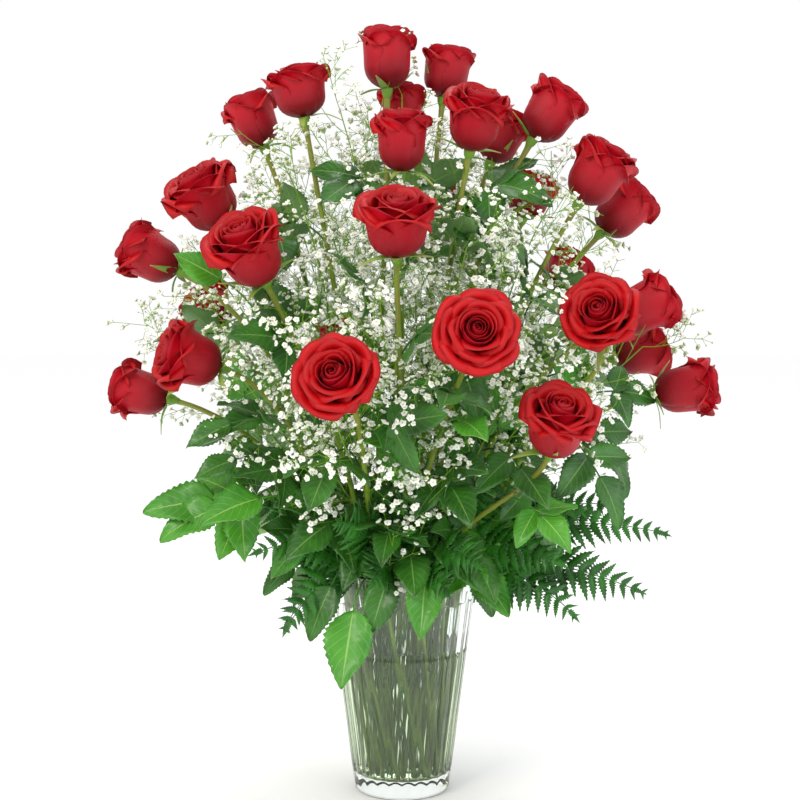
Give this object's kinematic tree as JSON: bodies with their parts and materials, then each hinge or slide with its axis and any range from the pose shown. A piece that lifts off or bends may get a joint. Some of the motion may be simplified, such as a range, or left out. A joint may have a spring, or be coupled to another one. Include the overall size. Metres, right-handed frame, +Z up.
{
  "type": "roses in a vase",
  "caption": "Tall florist's arrangement of cut red roses with gypsophila, fern and leaves standing in water in a tapered clear glass vase.",
  "frame": {"origin": "middle of the vase's foot, on the surface it stands on", "axes": "+Z up along the vase's axis, +X across the arrangement to the right, -Y towards its front"},
  "size_m": [0.6088, 0.4802, 0.7662],
  "materials": {
    "glass": "gloss",
    "water": "gloss",
    "rose_stem": "satin",
    "rose_petal": "matte",
    "gypsophila": "matte",
    "fern": "satin",
    "leaf": "satin"
  },
  "bodies": {
    "root": {"vase": "glass", "water": "water", "rose_01_stem": "rose_stem", "rose_01_bloom": "rose_petal", "rose_02_stem": "rose_stem", "rose_02_bloom": "rose_petal", "rose_03_stem": "rose_stem", "rose_03_bloom": "rose_petal", "rose_04_stem": "rose_stem", "rose_04_bloom": "rose_petal", "rose_05_stem": "rose_stem", "rose_05_bloom": "rose_petal", "rose_06_stem": "rose_stem", "rose_06_bloom": "rose_petal", "rose_07_stem": "rose_stem", "rose_07_bloom": "rose_petal", "rose_08_stem": "rose_stem", "rose_08_bloom": "rose_petal", "rose_09_stem": "rose_stem", "rose_09_bloom": "rose_petal", "rose_10_stem": "rose_stem", "rose_10_bloom": "rose_petal", "rose_11_stem": "rose_stem", "rose_11_bloom": "rose_petal", "rose_12_stem": "rose_stem", "rose_12_bloom": "rose_petal", "rose_13_stem": "rose_stem", "rose_13_bloom": "rose_petal", "rose_14_stem": "rose_stem", "rose_14_bloom": "rose_petal", "rose_15_stem": "rose_stem", "rose_15_bloom": "rose_petal", "rose_16_stem": "rose_stem", "rose_16_bloom": "rose_petal", "rose_17_stem": "rose_stem", "rose_17_bloom": "rose_petal", "rose_18_stem": "rose_stem", "rose_18_bloom": "rose_petal", "rose_19_stem": "rose_stem", "rose_19_bloom": "rose_petal", "rose_20_stem": "rose_stem", "rose_20_bloom": "rose_petal", "rose_21_stem": "rose_stem", "rose_21_bloom": "rose_petal", "rose_22_stem": "rose_stem", "rose_22_bloom": "rose_petal", "rose_23_stem": "rose_stem", "rose_23_bloom": "rose_petal", "rose_24_stem": "rose_stem", "rose_24_bloom": "rose_petal", "gypsophila_1": "gypsophila", "gypsophila_2": "gypsophila", "gypsophila_3": "gypsophila", "gypsophila_4": "gypsophila", "fern_1": "fern", "fern_2": "fern", "fern_3": "fern", "leaf_spray_1": "leaf", "leaf_spray_2": "leaf", "leaf_spray_3": "leaf"}
  },
  "joints": []
}
